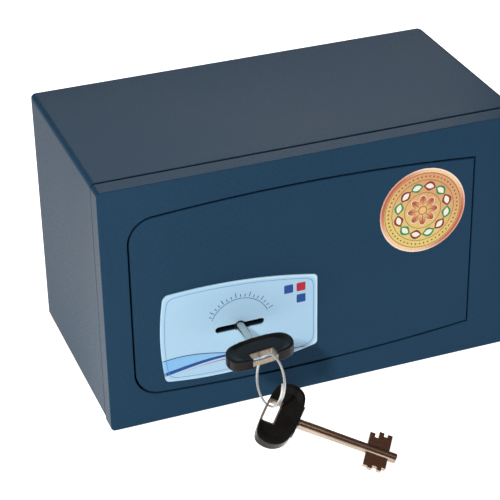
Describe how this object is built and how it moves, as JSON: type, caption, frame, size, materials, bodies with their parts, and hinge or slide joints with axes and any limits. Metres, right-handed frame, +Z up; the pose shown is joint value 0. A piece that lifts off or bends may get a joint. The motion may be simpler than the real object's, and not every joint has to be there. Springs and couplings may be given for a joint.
{
  "type": "mini safe",
  "caption": "Compact steel safe: folded body, thick front frame, flush bowed-edge door on hidden pivots, keyhole faceplate, double-bit key in the lock and a spare key on a ring.",
  "frame": {"origin": "middle of the safe's footprint, on its base", "axes": "+X to the right seen from the front (hinge side), +Y to the back, +Z up; rest pose is door closed with the bolts drawn back and the key in the lock"},
  "size_m": [0.25, 0.2275, 0.15],
  "materials": {
    "body_paint": "fine-textured dark petrol-blue powder coat",
    "pin_steel": "ground steel",
    "bush_bronze": "plain bearing bronze",
    "faceplate": null,
    "seal": "gold foil with a coppery rim",
    "lock_steel": "zinc-plated pressed sheet",
    "screw_zinc": "zinc-plated",
    "bolt_steel": "nickel-plated turned steel",
    "plate_steel": "stamped steel",
    "lever_brass": "stamped brass sheet",
    "spring_steel": "spring wire",
    "key_nickel": "nickel-plated steel",
    "bow_plastic": "black satin moulded plastic"
  },
  "bodies": {
    "safe": {"body_shell": "body_paint", "back_panel": "body_paint", "front_frame": "body_paint", "hinge_pins": "pin_steel", "hinge_ball": "pin_steel", "door_stop_tabs": "body_paint"},
    "door": {"door_plate": "body_paint", "hinge_bushes": "bush_bronze", "faceplate": "faceplate", "round_seal": "seal", "lock_case": "lock_steel", "lock_cover": "lock_steel", "lock_posts": "pin_steel", "lock_cover_screws": "screw_zinc", "lock_mount_screws": "screw_zinc", "lever_springs": "spring_steel"},
    "curtain": {"lock_curtain": "lock_steel"},
    "bolt_work": {"bolt_plate": "plate_steel", "locking_bolts": "bolt_steel", "bolt_rivets": "screw_zinc", "bolt_stump": "pin_steel"},
    "lever_pack": {"lever_1": "lever_brass", "lever_2": "lever_brass", "lever_3": "lever_brass", "lever_4": "lever_brass", "lever_5": "lever_brass"},
    "key": {"key_blade": "key_nickel", "key_bow": "bow_plastic", "key_loop": "key_nickel"},
    "ring": {"key_ring": "key_nickel"},
    "spare_key": {"spare_key_blade": "key_nickel", "spare_key_bow": "bow_plastic", "spare_key_loop": "key_nickel"}
  },
  "joints": [
    {"name": "door_swing", "type": "hinge", "parent": "safe", "child": "door", "pos_m": [0.0677, -0.061, 0.075], "axis": [0, 0, 1], "range_deg": [0, 90]},
    {"name": "key_turn", "type": "hinge", "parent": "door", "child": "curtain", "pos_m": [-0.04785, -0.0535, 0.0518], "axis": [0, -1, 0], "range_deg": [0, 360]},
    {"name": "key_withdraw", "type": "slide", "parent": "curtain", "child": "key", "axis": [0, -1, 0], "range_m": [0, 0.065]},
    {"name": "bolt_throw", "type": "slide", "parent": "door", "child": "bolt_work", "axis": [-1, 0, 0], "range_m": [0, 0.012]},
    {"name": "lever_lift", "type": "slide", "parent": "door", "child": "lever_pack", "axis": [0, 0, 1], "range_m": [0, 0.0024], "stiffness_N_per_m": 300, "springref_m": -0.003, "deforming": ["lever_springs"]},
    {"name": "ring_swing", "type": "hinge", "parent": "key", "child": "ring", "pos_m": [-0.04785, -0.1054, 0.0518], "axis": [-1, 0, 0], "range_deg": [0, 55]},
    {"name": "spare_key_swing", "type": "hinge", "parent": "ring", "child": "spare_key", "pos_m": [-0.04995, -0.1156, 0.02953], "axis": [0.1784, -0.9662, 0.1861], "range_deg": [0, 30]}
  ],
  "couplings": [
    {"joint": "bolt_throw", "follows": "key_turn", "m_per_rad": 0.0019098}
  ]
}
